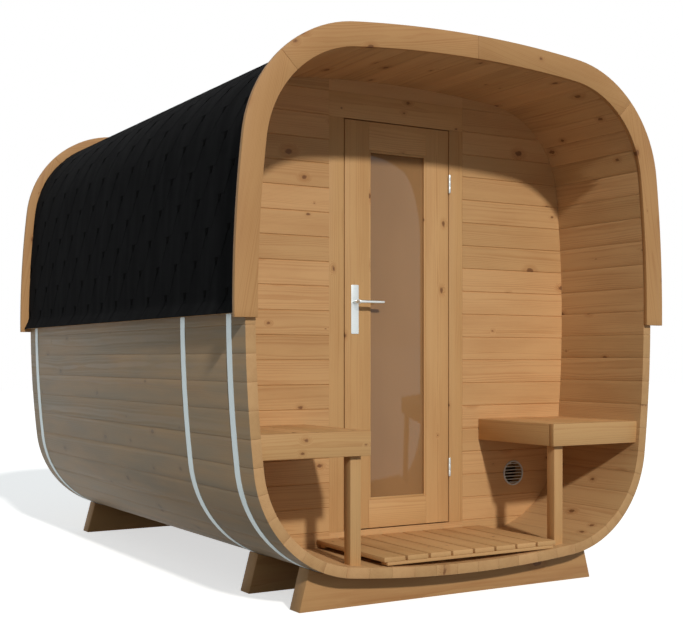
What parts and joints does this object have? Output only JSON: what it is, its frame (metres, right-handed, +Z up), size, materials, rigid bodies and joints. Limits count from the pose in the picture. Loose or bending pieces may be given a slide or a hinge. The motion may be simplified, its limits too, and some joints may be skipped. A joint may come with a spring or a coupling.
{
  "type": "cube sauna",
  "caption": "Rounded-square timber sauna on three cradles, with an open porch, benches, a glazed door, steel straps and a shingled roof.",
  "frame": {"origin": "on the ground, under the middle of the body", "axes": "+Z up, the porch and door face -Y, +X to the right of someone looking at the door; +Y runs along the body to the rear"},
  "size_m": [2.1036, 2.707, 2.252],
  "materials": {
    "stave_pine": "planed, unpainted, weathered grey outside",
    "board_pine": "planed, unpainted",
    "cradle_pine": "sawn and planed",
    "tinted_glass": "bronze tinted",
    "steel": "satin",
    "grey_plastic": "matt",
    "bitumen": "mineral-faced, rough"
  },
  "bodies": {
    "sauna": {"floor_staves": "stave_pine", "right_wall_staves": "stave_pine", "left_wall_staves": "stave_pine", "ceiling_staves": "stave_pine", "lower_right_corner_staves": "stave_pine", "lower_left_corner_staves": "stave_pine", "upper_right_corner_staves": "stave_pine", "upper_left_corner_staves": "stave_pine", "front_wall_left": "board_pine", "front_wall_right": "board_pine", "front_wall_top": "board_pine", "rear_wall": "board_pine", "frame_left_post": "board_pine", "frame_right_post": "board_pine", "frame_head": "board_pine", "door_sill": "board_pine", "hinge_frame_halves": "steel", "vent_grille": "grey_plastic", "left_bench_frame": "board_pine", "left_bench_slats": "board_pine", "left_bench_post": "board_pine", "right_bench_frame": "board_pine", "right_bench_slats": "board_pine", "right_bench_post": "board_pine", "duckboard_slats": "board_pine", "duckboard_battens": "board_pine", "upper_room_bench": "board_pine", "upper_room_bearers": "board_pine", "lower_room_bench": "board_pine", "lower_room_bearers": "board_pine", "cradles": "cradle_pine", "steel_straps": "steel", "roof_covering": "bitumen", "eaves_battens": "board_pine", "front_arch": "board_pine", "rear_arch": "board_pine"},
    "door": {"door_stiles": "board_pine", "door_rails": "board_pine", "door_glass": "tinted_glass", "hinge_door_halves": "steel", "handle_plates": "steel"},
    "lever": {"lever_handle": "steel"}
  },
  "joints": [
    {"name": "door_hinge", "type": "hinge", "parent": "sauna", "child": "door", "pos_m": [0.287, -0.803, 1.1], "axis": [0, 0, 1], "range_deg": [0, 105]},
    {"name": "lever_turn", "type": "hinge", "parent": "door", "child": "lever", "pos_m": [-0.2115, -0.7965, 1.202], "axis": [0, 1, 0], "range_deg": [0, 40], "stiffness_Nm_per_rad": 1.5, "springref_deg": -17.19}
  ]
}
